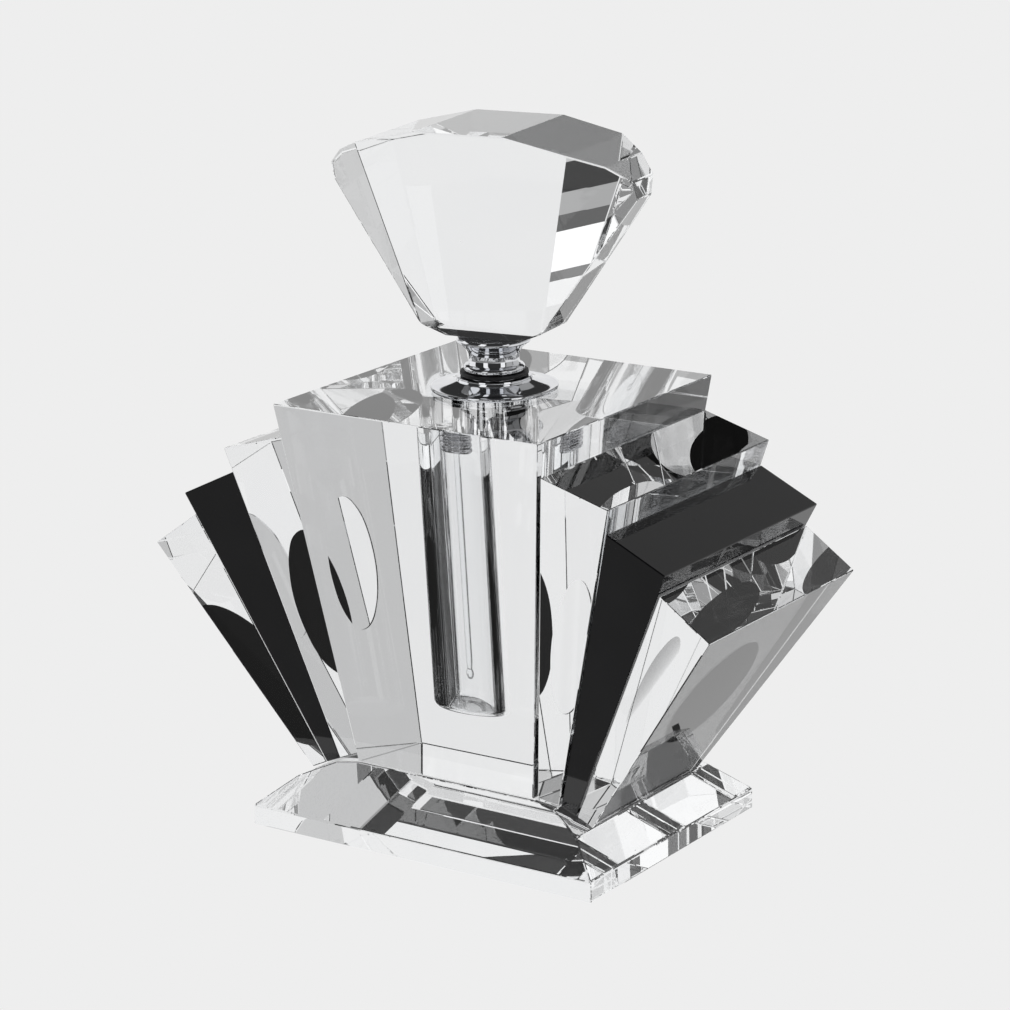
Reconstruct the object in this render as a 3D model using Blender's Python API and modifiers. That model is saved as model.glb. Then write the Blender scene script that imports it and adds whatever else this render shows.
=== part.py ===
"""Art Deco fan perfume bottle with a screw-in crystal dabber stopper.

Metres, +Z up, front towards -Y, the base stands on z = 0 and the neck axis is the Z axis.
Every sub-part is one named object in the collection "fan_perfume_bottle".
"""
from math import atan2, cos, pi, radians, sin

import bmesh
import bpy
from mathutils import Matrix, Vector

MM = 0.001

# ---- driving dimensions -------------------------------------------------------------------
BASE_WIDTH = 90.0 * MM            # plinth footprint along X
BASE_DEPTH = 67.0 * MM            # plinth footprint along Y
BASE_RIM = 4.6 * MM               # upright edge of the plinth
BASE_HEIGHT = 15.4 * MM           # floor to the seat of the centre block
BLOCK_FOOT_WIDTH = 46.8 * MM      # centre block, foot
BLOCK_FOOT_DEPTH = 45.2 * MM
BLOCK_TOP_WIDTH = 68.4 * MM       # centre block, top face
BLOCK_TOP_DEPTH = 69.2 * MM
BLOCK_HEIGHT = 83.1 * MM
WELL_DIAMETER = 19.0 * MM         # drilled scent well
WELL_FLOOR = 14.4 * MM            # glass left under the well
WELL_FILLET = 1.6 * MM
COLLAR_DIAMETER = 27.8 * MM       # chrome collar on the block top
COLLAR_HEIGHT = 3.0 * MM
COLLAR_BOSS_WALL = 1.92 * MM      # chrome left around the socket
SOCKET_DIAMETER = 11.8 * MM       # threaded socket hanging in the well
SOCKET_LENGTH = 11.6 * MM
SOCKET_WALL = 1.05 * MM
RIDGE_PITCH = 1.25 * MM           # thread pitch of socket and plug
RIDGE_DEPTH = 0.38 * MM
WASHER_THICKNESS = 0.7 * MM
WASHER_WIDTH = 2.65 * MM
FERRULE_WALL = 0.65 * MM          # chrome spool under the stopper: wall at the waist
FERRULE_FOOT_FLANGE = 1.2 * MM    # how far the foot and the head stand out from the waist
FERRULE_HEAD_FLARE = 2.6 * MM
FERRULE_HEIGHT = 7.4 * MM
ROD_DIAMETER = 2.4 * MM           # dabber
ROD_TIP_CLEARANCE = 6.4 * MM      # rod tip above the well floor
STOPPER_WIDTH = 72.2 * MM         # crystal stopper, tip to tip
STOPPER_HEIGHT = 46.0 * MM
STOPPER_FOOT_WIDTH = 29.0 * MM
STOPPER_FOOT_DEPTH = 12.8 * MM
STOPPER_FACE_SLOPE = 0.20         # each broad face leans out this much per unit of height
STOPPER_CLOCKING = radians(8.0)   # where the thread happens to stop

# ---- clearances ---------------------------------------------------------------------------
CEMENT = 0.3 * MM                 # cemented glass joints
SEAT = 0.3 * MM                   # stacked metal, washer and glass
RUNNING = 0.3 * MM                # socket bore to plug, radial
EDGE = 0.22 * MM                  # polished arris on the cut glass

# The fins fan out from the block: lean of the outer face, its length as a share of the block
# height, run and drop of the foot, foot depth as a share of the block foot depth.
FIN_LEAN = (radians(16.0), radians(25.7), radians(35.1))
FIN_LENGTH = (0.900, 0.818, 0.735)
FIN_RUN = (0.124, 0.085, 0.088)
FIN_DROP = (0.052, 0.110, 0.123)
FIN_FOOT_DEPTH = (0.951, 0.934, 0.929)
FIN_TAPER = 0.150
FIN_NAMES = ("clear_inner", "black", "clear_outer")

ROUND = 64                        # facets around the larger turned parts
ROUND_SMALL = 32

BLOCK_FOOT_Z = BASE_HEIGHT + CEMENT
BLOCK_TOP_Z = BLOCK_FOOT_Z + BLOCK_HEIGHT
WELL_FLOOR_Z = BLOCK_FOOT_Z + WELL_FLOOR
COLLAR_Z = BLOCK_TOP_Z + SEAT
COLLAR_TOP_Z = COLLAR_Z + COLLAR_HEIGHT
WASHER_Z = COLLAR_TOP_Z + SEAT
FERRULE_Z = WASHER_Z + WASHER_THICKNESS + SEAT
FERRULE_TOP_Z = FERRULE_Z + FERRULE_HEIGHT
STOPPER_Z = FERRULE_TOP_Z + SEAT
SOCKET_RADIUS = SOCKET_DIAMETER / 2
SOCKET_BORE = SOCKET_RADIUS - SOCKET_WALL
PLUG_RADIUS = SOCKET_BORE - RUNNING
PLUG_BORE = PLUG_RADIUS * 0.62
FERRULE_BORE = PLUG_RADIUS + SEAT
FERRULE_WAIST = FERRULE_BORE + FERRULE_WALL
SLEEVE_RADIUS = PLUG_BORE - SEAT
ROD_RADIUS = ROD_DIAMETER / 2
SLEEVE_BORE = ROD_RADIUS + SEAT
ROD_TIP_Z = WELL_FLOOR_Z + ROD_TIP_CLEARANCE

GLASS, BLACK, CHROME, METAL, POLY = "crystal", "black_crystal", "chrome", "socket_metal", "white_poly"
GASKET = "gasket"
PALETTE = {
    GLASS: ((0.95, 0.97, 0.98, 1.0), 0.03, 0.0),
    BLACK: ((0.012, 0.012, 0.014, 1.0), 0.05, 0.0),
    CHROME: ((0.80, 0.81, 0.83, 1.0), 0.06, 1.0),
    METAL: ((0.62, 0.62, 0.63, 1.0), 0.18, 1.0),
    POLY: ((0.86, 0.86, 0.84, 1.0), 0.35, 0.0),
    GASKET: ((0.02, 0.02, 0.022, 1.0), 0.45, 0.0),
}


# ---- helpers ------------------------------------------------------------------------------
def clear_scene():
    """Removes whatever the file opened with."""
    for obj in list(bpy.data.objects):
        bpy.data.objects.remove(obj, do_unlink=True)
    for group in (bpy.data.meshes, bpy.data.curves, bpy.data.materials):
        for block in list(group):
            group.remove(block)
    for coll in list(bpy.data.collections):
        bpy.data.collections.remove(coll)


def new_collection(name):
    coll = bpy.data.collections.new(name)
    bpy.context.scene.collection.children.link(coll)
    return coll


def material(name, finish):
    colour, roughness, metallic = PALETTE[finish]
    mat = bpy.data.materials.new(name + "_" + finish)
    mat.use_nodes = True
    shader = mat.node_tree.nodes["Principled BSDF"]
    shader.inputs["Base Color"].default_value = colour
    shader.inputs["Roughness"].default_value = roughness
    shader.inputs["Metallic"].default_value = metallic
    if finish == GLASS:
        shader.inputs["Transmission Weight"].default_value = 1.0
        shader.inputs["IOR"].default_value = 1.52
    mat.diffuse_color = colour
    return mat


def add_object(bm, name, finish, coll):
    """Turns a bmesh into a named object with outward normals and its own material."""
    bmesh.ops.recalc_face_normals(bm, faces=bm.faces)
    mesh = bpy.data.meshes.new(name)
    bm.to_mesh(mesh)
    bm.free()
    obj = bpy.data.objects.new(name, mesh)
    mesh.materials.append(material(name, finish))
    coll.objects.link(obj)
    return obj


def facet(bm, point, normal):
    """Grinds the solid flat: everything beyond the plane is taken off and the cut closed."""
    geom = bm.verts[:] + bm.edges[:] + bm.faces[:]
    cut = bmesh.ops.bisect_plane(bm, geom=geom, dist=1e-7, plane_co=point, plane_no=normal,
                                 clear_outer=True)
    edges = [e for e in cut["geom_cut"] if isinstance(e, bmesh.types.BMEdge)]
    if edges:
        bmesh.ops.edgeloop_fill(bm, edges=edges)


def extruded(outline, depth):
    """A flat XZ outline drawn as a 2D curve and stretched to half its depth on each side of Y."""
    curve = bpy.data.curves.new("outline", "CURVE")
    curve.dimensions, curve.fill_mode, curve.extrude = "2D", "BOTH", depth / 2
    spline = curve.splines.new("POLY")
    spline.points.add(len(outline) - 1)
    for point, corner in zip(spline.points, outline):
        point.co = (corner.x, corner.z, 0, 1)
    spline.use_cyclic_u = True
    drawn = bpy.data.objects.new("outline", curve)
    bpy.context.scene.collection.objects.link(drawn)
    mesh = bpy.data.meshes.new_from_object(drawn.evaluated_get(bpy.context.evaluated_depsgraph_get()))
    bpy.data.objects.remove(drawn, do_unlink=True)
    bm = bmesh.new()
    bm.from_mesh(mesh)
    bpy.data.meshes.remove(mesh)
    bmesh.ops.remove_doubles(bm, verts=bm.verts, dist=1e-6)
    bmesh.ops.rotate(bm, verts=bm.verts, cent=(0, 0, 0), matrix=Matrix.Rotation(pi / 2, 3, "X"))
    bmesh.ops.dissolve_limit(bm, angle_limit=radians(0.5), verts=bm.verts, edges=bm.edges)
    return bm


def facet_solid(low, high, planes):
    """A blank from `low` to `high` ground down by the (point, normal) planes."""
    bm = bmesh.new()
    size = Vector(high) - Vector(low)
    middle = (Vector(high) + Vector(low)) / 2
    bmesh.ops.create_cube(bm, size=1.0, matrix=Matrix.Translation(middle) @ Matrix.Diagonal(
        (size.x, size.y, size.z, 1.0)))
    for point, normal in planes:
        facet(bm, Vector(point), Vector(normal).normalized())
    bmesh.ops.remove_doubles(bm, verts=bm.verts, dist=1e-6)
    return bm


def mirrored(planes, across_x=True, across_y=True):
    """The planes with their mirror images in X and/or Y."""
    out = []
    for point, normal in planes:
        for sx in ((1, -1) if across_x else (1,)):
            for sy in ((1, -1) if across_y else (1,)):
                flip = Vector((sx, sy, 1))
                out.append((Vector(point) * flip, Vector(normal) * flip))
    return out


def arris(obj, width=EDGE):
    """The small polished bevel on every edge of a cut glass piece."""
    bevel = obj.modifiers.new("arris", "BEVEL")
    bevel.width = width
    bevel.segments = 1
    bevel.limit_method = "ANGLE"
    bevel.angle_limit = radians(8.0)


def turned(profile, name, finish, coll, steps=ROUND, closed=True):
    """A turned part: the (radius, z) profile spun about Z; closed profiles make rings."""
    bm = bmesh.new()
    verts = [bm.verts.new((r, 0.0, z)) for r, z in profile]
    pairs = zip(verts, verts[1:] + verts[:1]) if closed else zip(verts, verts[1:])
    edges = [bm.edges.new(pair) for pair in pairs]
    bmesh.ops.spin(bm, geom=verts + edges, axis=(0, 0, 1), cent=(0, 0, 0), angle=2 * pi,
                   steps=steps, use_merge=True)
    bmesh.ops.remove_doubles(bm, verts=bm.verts, dist=2e-6)
    return add_object(bm, name, finish, coll)


def arc(centre, radius, start, end, count):
    """(radius, z) points on an arc given in degrees."""
    cr, cz = centre
    out = []
    for i in range(count + 1):
        a = radians(start + (end - start) * i / count)
        out.append((cr + radius * cos(a), cz + radius * sin(a)))
    return out


def subtract(obj, cutter):
    cut = obj.modifiers.new("bore", "BOOLEAN")
    cut.operation = "DIFFERENCE"
    cut.solver = "EXACT"
    cut.object = cutter
    cutter.hide_render = True
    cutter.display_type = "WIRE"


def lean(angle):
    """Unit vector up a face that leans out by `angle`, and the outward normal of that face."""
    return Vector((sin(angle), 0, cos(angle))), Vector((cos(angle), 0, -sin(angle)))


# ---- layout of the fan --------------------------------------------------------------------
BLOCK_LEAN = atan2((BLOCK_TOP_WIDTH - BLOCK_FOOT_WIDTH) / 2, BLOCK_HEIGHT)
BLOCK_RAKE = (BLOCK_TOP_DEPTH - BLOCK_FOOT_DEPTH) / 2 / BLOCK_HEIGHT


def fan_feet():
    """Points on the plinth, block foot first, where one fin ends and the next begins."""
    feet = [Vector((BLOCK_FOOT_WIDTH / 2, 0, BASE_HEIGHT))]
    for run, drop in zip(FIN_RUN, FIN_DROP):
        feet.append(feet[-1] + Vector((run * BLOCK_FOOT_WIDTH, 0, -drop * BASE_HEIGHT)))
    return feet


def base_ridge():
    """Right half of the plinth profile in XZ, centre to rim."""
    rim = Vector((BASE_WIDTH / 2, 0, BASE_RIM))
    return fan_feet() + [rim]


# ---- sub-parts ----------------------------------------------------------------------------
def build_base(coll):
    """Plinth: upright rim, hipped front and back, sides stepped to carry the fins."""
    right = base_ridge() + [Vector((BASE_WIDTH / 2, 0, 0))]
    left = [Vector((-p.x, 0, p.z)) for p in reversed(right)]
    bm = extruded(right + left, BASE_DEPTH)
    rise = BASE_HEIGHT - BASE_RIM
    set_back = (BASE_DEPTH - BLOCK_FOOT_DEPTH) / 2
    for side in (-1, 1):
        facet(bm, Vector((0, side * BASE_DEPTH / 2, BASE_RIM)), Vector((0, side * rise, set_back)).normalized())
    bmesh.ops.remove_doubles(bm, verts=bm.verts, dist=1e-6)
    obj = add_object(bm, "base_plinth", GLASS, coll)
    arris(obj)
    return obj


def build_block(coll, cutters):
    """Centre block, wider at the top, with the round-bottomed scent well drilled in it."""
    up, out = lean(BLOCK_LEAN)
    side = ((BLOCK_FOOT_WIDTH / 2, 0, BLOCK_FOOT_Z), out)
    front = ((0, -BLOCK_FOOT_DEPTH / 2, BLOCK_FOOT_Z), (0, -1, -BLOCK_RAKE))
    bm = facet_solid((-BLOCK_TOP_WIDTH / 2, -BLOCK_TOP_DEPTH / 2, BLOCK_FOOT_Z),
                     (BLOCK_TOP_WIDTH / 2, BLOCK_TOP_DEPTH / 2, BLOCK_TOP_Z),
                     mirrored([side], across_y=False) + mirrored([front], across_x=False))
    obj = add_object(bm, "bottle_block", GLASS, coll)
    arris(obj)
    radius = WELL_DIAMETER / 2
    corner = arc((radius - WELL_FILLET, WELL_FLOOR_Z + WELL_FILLET), WELL_FILLET, -90, 0, 6)
    profile = [(0, WELL_FLOOR_Z)] + corner + [(radius, BLOCK_TOP_Z + 5 * MM), (0, BLOCK_TOP_Z + 5 * MM)]
    cutter = turned(profile, "well_drill", GLASS, cutters, closed=False)
    subtract(obj, cutter)
    return obj


def build_fins(coll):
    """Three slabs a side, each set against the face of the one before and foot on the plinth."""
    feet = fan_feet()
    inner_lean = BLOCK_LEAN
    for i, name in enumerate(FIN_NAMES):
        up, out = lean(FIN_LEAN[i])
        inner_out = lean(inner_lean)[1]
        foot_in, foot_out = feet[i], feet[i + 1]
        foot_run = foot_out - foot_in
        foot_normal = Vector((foot_run.z, 0, -foot_run.x)).normalized()
        top = foot_out + up * FIN_LENGTH[i] * BLOCK_HEIGHT
        depth = FIN_FOOT_DEPTH[i] * BLOCK_FOOT_DEPTH / 2
        front_normal = Vector((0, -1, 0)) - up * FIN_TAPER
        planes = [
            (foot_in + inner_out * CEMENT, -inner_out),
            (foot_out, out),
            (top, up),
            (foot_in - foot_normal * CEMENT, foot_normal),
        ] + mirrored([(foot_out + Vector((0, -depth, 0)), front_normal)], across_x=False)
        reach = BLOCK_HEIGHT + BASE_WIDTH
        for side, sign in (("right", 1), ("left", -1)):
            flip = Vector((sign, 1, 1))
            bm = facet_solid((-reach, -BASE_DEPTH, -reach / 4), (reach, BASE_DEPTH, reach),
                             [(Vector(p) * flip, Vector(n) * flip) for p, n in planes])
            obj = add_object(bm, "fin_%s_%s" % (name, side), BLACK if name == "black" else GLASS, coll)
            arris(obj)
        inner_lean = FIN_LEAN[i]


def build_collar(coll):
    """Chrome collar: thin rim, hollow-ground flare, short boss round the socket."""
    rim, bore = COLLAR_DIAMETER / 2, SOCKET_RADIUS + SEAT
    boss = bore + COLLAR_BOSS_WALL
    z, top = COLLAR_Z, COLLAR_TOP_Z
    edge = 0.28 * COLLAR_HEIGHT
    flare = []
    for i in range(9):
        t = i / 8
        flare.append((rim - (rim - boss - 0.2 * MM) * t, z + edge + (0.42 * COLLAR_HEIGHT) * t ** 1.9))
    profile = [(bore, z), (rim - 0.35 * MM, z), (rim, z + 0.35 * edge)] + flare + [
        (boss + 0.12 * MM, z + 0.80 * COLLAR_HEIGHT), (boss, z + 0.86 * COLLAR_HEIGHT),
        (boss, top - 0.18 * MM), (boss - 0.18 * MM, top), (bore, top)]
    return turned(profile, "collar_disc", CHROME, coll)


def build_socket(coll):
    """Socket tube in the collar, ridged outside where it hangs in the well."""
    outer, bore = SOCKET_RADIUS, SOCKET_BORE
    top, foot = COLLAR_TOP_Z - SEAT, COLLAR_TOP_Z - SEAT - SOCKET_LENGTH
    profile = [(bore, top), (outer, top), (outer, COLLAR_Z - 0.6 * MM)]
    z = COLLAR_Z - 0.6 * MM
    while z - RIDGE_PITCH > foot + 0.5 * MM:
        profile += [(outer - RIDGE_DEPTH, z - 0.32 * RIDGE_PITCH), (outer - RIDGE_DEPTH, z - 0.55 * RIDGE_PITCH),
                    (outer, z - 0.85 * RIDGE_PITCH), (outer, z - RIDGE_PITCH)]
        z -= RIDGE_PITCH
    profile += [(outer, foot + 0.3 * MM), (outer - 0.3 * MM, foot), (bore, foot)]
    return turned(profile, "neck_socket", METAL, coll, steps=ROUND_SMALL + 8)


def build_washer(coll):
    inner = PLUG_RADIUS + RUNNING
    outer = inner + WASHER_WIDTH
    z = WASHER_Z
    r = 0.15 * MM
    profile = [(inner, z), (outer - r, z), (outer, z + r), (outer, z + WASHER_THICKNESS - r),
               (outer - r, z + WASHER_THICKNESS), (inner, z + WASHER_THICKNESS)]
    return turned(profile, "sealing_washer", GASKET, coll)


def build_ferrule(coll):
    """Chrome spool: foot flange, waist, hollow flare up to the crystal."""
    waist, bore = FERRULE_WAIST, FERRULE_BORE
    foot, head = waist + FERRULE_FOOT_FLANGE, waist + FERRULE_HEAD_FLARE
    z, h = FERRULE_Z, FERRULE_HEIGHT
    socket_depth = 0.46 * h
    profile = [(0, z + socket_depth), (bore, z + socket_depth), (bore, z), (foot - 0.25 * MM, z),
               (foot, z + 0.25 * MM), (foot, z + 0.10 * h), (foot - 0.3 * MM, z + 0.15 * h)]
    for i in range(7):
        t = i / 6
        profile.append((waist + 0.45 * MM * (1 - t) ** 2, z + h * (0.17 + 0.16 * t)))
    for i in range(9):
        t = i / 8
        profile.append((waist + (head - waist) * t ** 2.1, z + h * (0.40 + 0.46 * t)))
    profile += [(head, z + 0.93 * h), (head - 0.3 * MM, z + h), (0, z + h)]
    return turned(profile, "stopper_ferrule", CHROME, coll, closed=False)


def build_plug(coll):
    """Screw plug under the ferrule; the thread is cut as plain rings inside the socket bore."""
    outer, bore = PLUG_RADIUS, PLUG_BORE
    top = FERRULE_Z + 0.46 * FERRULE_HEIGHT - SEAT
    foot = COLLAR_TOP_Z - SEAT - SOCKET_LENGTH + 1.2 * MM
    profile = [(0, top), (outer, top), (outer, COLLAR_TOP_Z)]
    z = COLLAR_TOP_Z
    while z - RIDGE_PITCH > foot + 0.5 * MM:
        profile += [(outer - RIDGE_DEPTH, z - 0.35 * RIDGE_PITCH), (outer - RIDGE_DEPTH, z - 0.55 * RIDGE_PITCH),
                    (outer, z - 0.9 * RIDGE_PITCH), (outer, z - RIDGE_PITCH)]
        z -= RIDGE_PITCH
    profile += [(outer, foot + 0.3 * MM), (outer - 0.3 * MM, foot), (bore, foot), (bore, top - 2.0 * MM),
                (0, top - 2.0 * MM)]
    return turned(profile, "screw_plug", METAL, coll, steps=ROUND_SMALL, closed=False)


def sleeve_span():
    top = FERRULE_Z + 0.46 * FERRULE_HEIGHT - 2.0 * MM - 2 * SEAT
    return COLLAR_TOP_Z - SEAT - SOCKET_LENGTH + 0.2 * MM, top


def build_sleeve(coll):
    """Poly sleeve that grips the dabber rod inside the plug."""
    foot, top = sleeve_span()
    profile = [(0, top), (SLEEVE_RADIUS, top), (SLEEVE_RADIUS, foot + 0.2 * MM),
               (SLEEVE_RADIUS - 0.2 * MM, foot), (SLEEVE_BORE, foot), (SLEEVE_BORE, top - 1.0 * MM),
               (0, top - 1.0 * MM)]
    return turned(profile, "dabber_sleeve", POLY, coll, steps=ROUND_SMALL, closed=False)


def build_rod(coll):
    """Glass dabber with a slightly swollen, fully rounded tip."""
    top = sleeve_span()[1] - 1.0 * MM - SEAT
    tip = ROD_RADIUS * 1.18
    ball = arc((0, ROD_TIP_Z + tip), tip, -90, 55, 10)
    profile = ball + [(ROD_RADIUS, ROD_TIP_Z + 2.6 * tip), (ROD_RADIUS, top), (0, top)]
    profile[0] = (0, ROD_TIP_Z)
    return turned(profile, "dabber_rod", GLASS, coll, steps=ROUND_SMALL, closed=False)


def build_stopper(coll):
    """Crystal stopper: two broad faces, a faceted arc on top, long side facets to the foot."""
    half, foot = STOPPER_WIDTH / 2, STOPPER_FOOT_WIDTH / 2
    deep = STOPPER_FOOT_DEPTH / 2
    z0, h = STOPPER_Z, STOPPER_HEIGHT
    knee = z0 + 0.052 * h                      # where the foot chamfers end

    def at(x, z):
        return Vector((x * half, 0, z0 + z * h))

    crown = [at(0.291, 1.0), at(0.686, 0.932), at(0.873, 0.870), at(0.992, 0.793), at(1.0, 0.704)]
    planes = []
    for a, b in zip(crown, crown[1:]):
        run = b - a
        planes.append((a, (-run.z, 0, run.x)))
    tip_low, foot_side = crown[-1], Vector((foot, 0, knee))
    run = foot_side - tip_low
    planes.append((tip_low, (-run.z, 0, run.x)))
    planes.append((foot_side, (knee - z0, 0, -(foot * 0.38))))
    face = (0, -1, STOPPER_FACE_SLOPE * -1)
    planes.append(((0, -deep, knee), face))
    planes.append(((0, -deep, knee), (0, -(knee - z0), -deep * 0.19)))
    shoulder = crown[1] + Vector((0, -(deep + STOPPER_FACE_SLOPE * (crown[1].z - knee)), 0))
    tip = tip_low + Vector((0, -0.104 * half, 0))
    corner = Vector((foot, -deep, knee))
    side = (tip - corner).cross(shoulder - corner)
    planes.append((corner, side if side.x > 0 else -side))
    bm = facet_solid((-half, -half, z0), (half, half, z0 + h), mirrored(planes))
    bmesh.ops.rotate(bm, verts=bm.verts, cent=(0, 0, 0), matrix=Matrix.Rotation(STOPPER_CLOCKING, 3, "Z"))
    obj = add_object(bm, "crystal_stopper", GLASS, coll)
    arris(obj, 0.3 * MM)
    return obj


def main():
    clear_scene()
    coll = new_collection("fan_perfume_bottle")
    cutters = new_collection("cutters")
    build_base(coll)
    build_block(coll, cutters)
    build_fins(coll)
    build_collar(coll)
    build_socket(coll)
    washer = build_washer(coll)
    lift = bpy.data.objects.new("stopper_lift_axis", None)
    lift.location = (0, 0, COLLAR_TOP_Z)
    coll.objects.link(lift)
    for obj in (washer, build_ferrule(coll), build_plug(coll), build_sleeve(coll), build_rod(coll),
                build_stopper(coll)):
        obj.parent = lift
        obj.matrix_parent_inverse = Matrix.Translation(lift.location).inverted()


main()
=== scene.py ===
"""Looks of a fan-shaped cut-crystal perfume bottle with a screw-in dabber stopper.

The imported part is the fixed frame. Metres, +Z up, front towards -Y, the neck axis is the Z axis.
Each sub-assembly is a class that grinds, turns and dresses its own pieces.
"""
from __future__ import annotations

import logging
from dataclasses import dataclass, field
from enum import Enum
from math import atan2, cos, pi, radians, sin, tan
from typing import Iterable, Sequence, Union

import bmesh
import bpy
from mathutils import Matrix, Vector


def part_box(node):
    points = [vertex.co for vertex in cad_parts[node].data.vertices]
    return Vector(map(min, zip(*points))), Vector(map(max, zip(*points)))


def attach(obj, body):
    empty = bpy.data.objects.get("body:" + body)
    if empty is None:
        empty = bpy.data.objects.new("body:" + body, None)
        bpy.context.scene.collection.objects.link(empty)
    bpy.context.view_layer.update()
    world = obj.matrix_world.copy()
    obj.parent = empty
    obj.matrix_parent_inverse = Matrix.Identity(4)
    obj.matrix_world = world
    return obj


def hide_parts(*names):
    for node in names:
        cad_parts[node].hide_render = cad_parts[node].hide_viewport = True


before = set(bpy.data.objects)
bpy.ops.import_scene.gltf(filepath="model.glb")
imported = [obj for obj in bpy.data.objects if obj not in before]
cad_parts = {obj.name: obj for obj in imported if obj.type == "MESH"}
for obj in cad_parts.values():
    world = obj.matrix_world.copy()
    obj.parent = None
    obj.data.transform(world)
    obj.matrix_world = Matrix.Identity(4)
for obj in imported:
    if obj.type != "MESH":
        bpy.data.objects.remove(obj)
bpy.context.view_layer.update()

log = logging.getLogger("perfume_bottle")

MM = 0.001
FULL_TURN = 2 * pi

Cut = tuple[Vector, Vector]
Outline = list[tuple[float, float]]
Operand = Union["Signal", float]

LAPPING = (1.0, 1.0, 0.35)  # lapping waves are drawn out along Z


class Body(Enum):
    """The moving bodies of the frame."""

    BOTTLE = "bottle"
    WASHER = "washer"
    STOPPER = "stopper"


class Slot(Enum):
    """Material slots of the record."""

    PLINTH = "plinth_crystal"
    BLOCK = "block_crystal"
    FIN = "fin_crystal"
    BLACK = "black_crystal"
    STOPPER = "stopper_crystal"
    ROD = "rod_glass"
    COLLAR = "collar_chrome"
    FERRULE = "ferrule_chrome"
    SOCKET = "socket_metal"
    PLUG = "plug_metal"
    GASKET = "gasket"
    SLEEVE = "sleeve_poly"


# ---- shader maths ----
class Signal:
    """A socket that carries a number; arithmetic on it adds Math nodes to its tree."""

    def __init__(self, tree: bpy.types.NodeTree, socket: bpy.types.NodeSocket) -> None:
        """Wraps a socket.

        Args:
            tree: The node tree that the socket is in.
            socket: The output socket.
        """
        self.tree = tree
        self.socket = socket

    def _maths(self, operation: str, *operands: Operand, clamp: bool = False) -> "Signal":
        """Adds one Math node.

        Args:
            operation: The Math node's operation.
            *operands: Signals or plain numbers, in socket order.
            clamp: Whether the result is kept from 0 to 1.

        Returns:
            The node's result.
        """
        node = self.tree.nodes.new("ShaderNodeMath")
        node.operation = operation
        node.use_clamp = clamp
        for socket, operand in zip(node.inputs, operands):
            if isinstance(operand, Signal):
                self.tree.links.new(operand.socket, socket)
            else:
                socket.default_value = operand
        return Signal(self.tree, node.outputs[0])

    def __add__(self, other: Operand) -> "Signal":
        """self + other."""
        return self._maths("ADD", self, other)

    __radd__ = __add__

    def __sub__(self, other: Operand) -> "Signal":
        """self - other."""
        return self._maths("SUBTRACT", self, other)

    def __rsub__(self, other: Operand) -> "Signal":
        """other - self."""
        return self._maths("SUBTRACT", other, self)

    def __mul__(self, other: Operand) -> "Signal":
        """self * other."""
        return self._maths("MULTIPLY", self, other)

    __rmul__ = __mul__

    def __lt__(self, other: Operand) -> "Signal":
        """1 where self is less than other, else 0."""
        return self._maths("LESS_THAN", self, other)

    def __abs__(self) -> "Signal":
        """The size of self without its sign."""
        return self._maths("ABSOLUTE", self)

    def either(self, other: Operand) -> "Signal":
        """The greater of self and other."""
        return self._maths("MAXIMUM", self, other)

    def ramp(self, low: float, high: float) -> "Signal":
        """0 at low, 1 at high, straight between them and held beyond.

        Args:
            low: The value that gives 0.
            high: The value that gives 1.

        Returns:
            The held signal.
        """
        share = (self - low) * (1.0 / (high - low))
        return share._maths("ADD", share, 0.0, clamp=True)


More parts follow.
